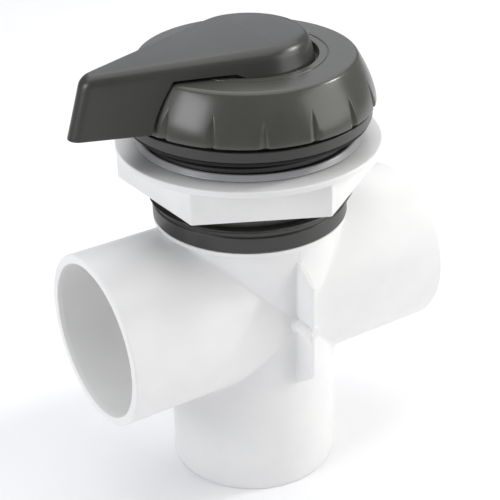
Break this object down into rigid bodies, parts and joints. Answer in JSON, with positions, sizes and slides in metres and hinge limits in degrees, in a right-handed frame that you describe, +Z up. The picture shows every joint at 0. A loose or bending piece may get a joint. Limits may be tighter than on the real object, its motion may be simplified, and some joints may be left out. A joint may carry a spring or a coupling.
{
  "type": "three-port diverter valve",
  "caption": "Deck-mounted rotary diverter valve: white cross body with pipe sockets, threaded neck with lock nut, low domed screw cap and pointer lever handle.",
  "frame": {"origin": "centre of the lower socket's rim, on the stem axis", "axes": "+Z up along the stem from the lower port to the handle; X through the two side ports, the handle points to -X at rest; -Y is the side with the moulding fin"},
  "size_m": [0.1454, 0.1012, 0.1855],
  "materials": {
    "body_pvc": "white injection-moulded PVC, glossy",
    "nut_pvc": "white injection-moulded PVC, semi-gloss",
    "dark_plastic": "dark grey moulded plastic, satin",
    "cap_plastic": "dark grey moulded plastic, fine satin texture",
    "handle_plastic": "dark grey moulded plastic, fine satin texture",
    "rubber": "black EPDM, matt",
    "acetal": "natural acetal, satin",
    "ptfe": "PTFE, smooth",
    "stainless": "turned stainless steel"
  },
  "bodies": {
    "valve": {"valve_body": "body_pvc", "threaded_neck": "dark_plastic", "deck_flange_ring": "dark_plastic", "deck_gasket": "rubber", "rotor_wear_ring": "ptfe"},
    "nut_ring": {"nut_slip_ring": "nut_pvc"},
    "nut": {"lock_nut": "nut_pvc"},
    "bonnet_core": {"bonnet": "dark_plastic", "bonnet_o_ring": "rubber", "stem_o_ring_lower": "rubber", "stem_o_ring_upper": "rubber", "stem_thrust_washer": "ptfe"},
    "cap": {"screw_cap": "cap_plastic", "cap_slip_washer": "ptfe"},
    "rotor": {"stem": "acetal", "diverter_rotor": "acetal", "gate_seal": "rubber", "handle": "handle_plastic", "rotor_screw": "stainless", "rotor_washer": "stainless"}
  },
  "joints": [
    {"name": "nut_travel", "type": "slide", "parent": "valve", "child": "nut_ring", "axis": [0, 0, 1], "range_m": [-0.01, 0.0049]},
    {"name": "nut_turn", "type": "hinge", "parent": "nut_ring", "child": "nut", "pos_m": [0, 0, 0.137], "axis": [0, 0, 1], "range_deg": [-720, 350]},
    {"name": "core_lift", "type": "slide", "parent": "valve", "child": "bonnet_core", "axis": [0, 0, 1], "range_m": [0, 0.0101]},
    {"name": "cap_turn", "type": "hinge", "parent": "bonnet_core", "child": "cap", "pos_m": [0, 0, 0.168], "axis": [0, 0, 1], "range_deg": [0, 720]},
    {"name": "handle_turn", "type": "hinge", "parent": "bonnet_core", "child": "rotor", "pos_m": [0, 0, 0.177], "axis": [0, 0, 1], "range_deg": [0, 180]}
  ],
  "couplings": [
    {"joint": "nut_travel", "follows": "nut_turn", "m_per_rad": 0.00079577},
    {"joint": "core_lift", "follows": "cap_turn", "m_per_rad": 0.00079577}
  ]
}
